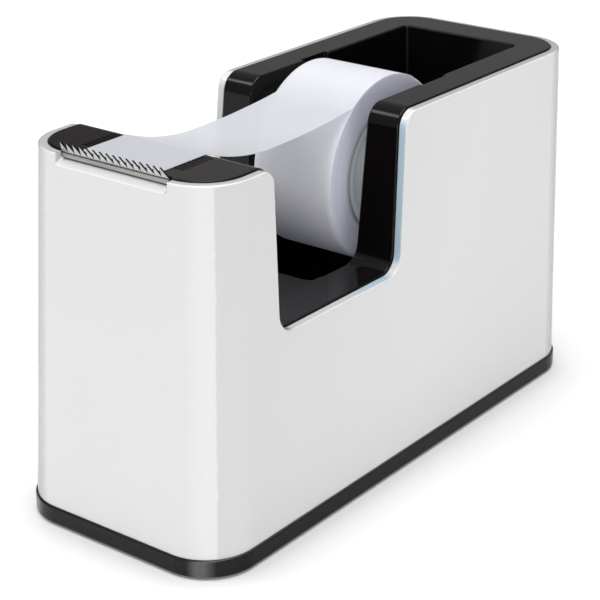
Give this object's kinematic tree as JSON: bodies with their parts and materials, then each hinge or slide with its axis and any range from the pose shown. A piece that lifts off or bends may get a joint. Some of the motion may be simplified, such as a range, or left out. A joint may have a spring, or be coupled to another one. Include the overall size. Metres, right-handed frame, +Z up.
{
  "type": "tape dispenser",
  "caption": "Boxy desk tape dispenser: white shell with a U-shaped side cut-out, black well insert, toothed cutter on the nose, and a lift-out hub with a roll of clear tape.",
  "frame": {"origin": "centre of the footprint, on the plane that the feet stand on", "axes": "+X across the width, +Y from the cutter to the back, +Z up"},
  "size_m": [0.051, 0.126, 0.0758],
  "materials": {
    "shell_white": "moulded gloss white",
    "insert_black": "moulded satin black",
    "base_black": "moulded satin black",
    "cutter_steel": "stamped and folded spring steel",
    "screw_steel": "zinc plated",
    "ballast_iron": "bare plate",
    "foot_rubber": "soft matt",
    "hub_grey": "moulded satin grey",
    "axle_grey": "moulded satin grey",
    "core_plastic": "extruded tube",
    "tape_winding": "wound translucent film",
    "tape_film": "single layer of translucent film"
  },
  "bodies": {
    "case": {"outer_shell": "shell_white", "well_insert": "insert_black", "nose_cap": "insert_black", "cutter_blade": "cutter_steel", "base_tray": "base_black", "ballast_plate": "ballast_iron", "base_screws": "screw_steel", "cap_screws": "screw_steel", "foot_front_left": "foot_rubber", "foot_front_right": "foot_rubber", "foot_rear_left": "foot_rubber", "foot_rear_right": "foot_rubber"},
    "axle": {"hub_axle": "axle_grey", "tape_tail": "tape_film"},
    "roll": {"hub_right": "hub_grey", "hub_left": "hub_grey", "tape_core": "core_plastic", "tape_roll": "tape_winding"}
  },
  "joints": [
    {"name": "hub_lift", "type": "slide", "parent": "case", "child": "axle", "axis": [0, 0.4158, 0.9095], "range_m": [0, 0.05]},
    {"name": "roll_spin", "type": "hinge", "parent": "axle", "child": "roll", "pos_m": [0, 0.0114, 0.0565], "axis": [1, 0, 0], "continuous": true}
  ]
}
